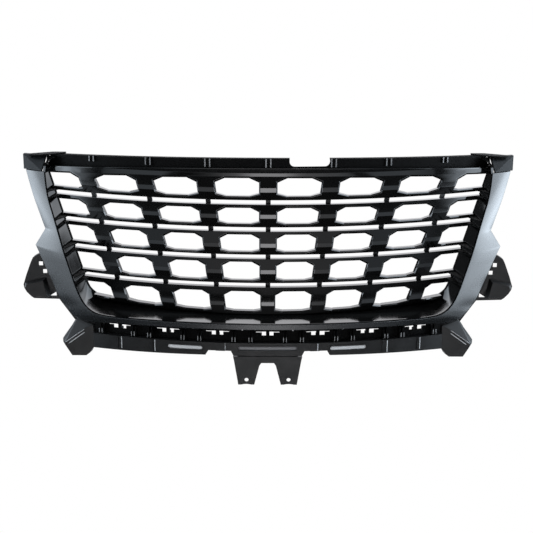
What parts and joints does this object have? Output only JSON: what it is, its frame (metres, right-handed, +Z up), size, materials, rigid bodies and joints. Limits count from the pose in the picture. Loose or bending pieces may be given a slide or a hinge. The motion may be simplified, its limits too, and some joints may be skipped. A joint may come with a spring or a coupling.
{
  "type": "front grille",
  "caption": "Curved vehicle front grille: satin black U-shaped surround, gloss black liner and pierced horizontal bars, with upper flange, lower carrier and fixing brackets.",
  "frame": {"origin": "midway between the two fixing holes of the centre bracket, in the middle of its plate's thickness", "axes": "+X to the right as seen from the front, along the long side; +Y to the back; +Z up"},
  "size_m": [1.0566, 0.2368, 0.4584],
  "materials": {
    "satin_black": "satin black moulding that mirrors its surroundings softly",
    "gloss_black": "gloss black moulding",
    "matte_black": "fine-grained black moulding",
    "screw_steel": "dull zinc"
  },
  "bodies": {
    "root": {"surround_frame": "satin_black", "inner_liner": "gloss_black", "left_top_cap": "matte_black", "right_top_cap": "matte_black", "upper_flange": "matte_black", "left_locating_tab": "matte_black", "right_locating_tab": "matte_black", "grille_bar_1": "gloss_black", "grille_bar_2": "gloss_black", "grille_bar_3": "gloss_black", "grille_bar_4": "gloss_black", "grille_bar_5": "gloss_black", "tie_rib_1": "matte_black", "tie_rib_2": "matte_black", "tie_rib_3": "matte_black", "tie_rib_4": "matte_black", "tie_rib_5": "matte_black", "tie_rib_6": "matte_black", "tie_rib_7": "matte_black", "lower_carrier": "matte_black", "centre_bracket": "matte_black", "left_corner_block": "matte_black", "right_corner_block": "matte_black", "left_side_bracket": "matte_black", "right_side_bracket": "matte_black", "snap_clips": "matte_black", "flange_screws": "screw_steel", "rib_screws": "screw_steel", "carrier_screws": "screw_steel", "bracket_screws": "screw_steel"}
  },
  "joints": []
}
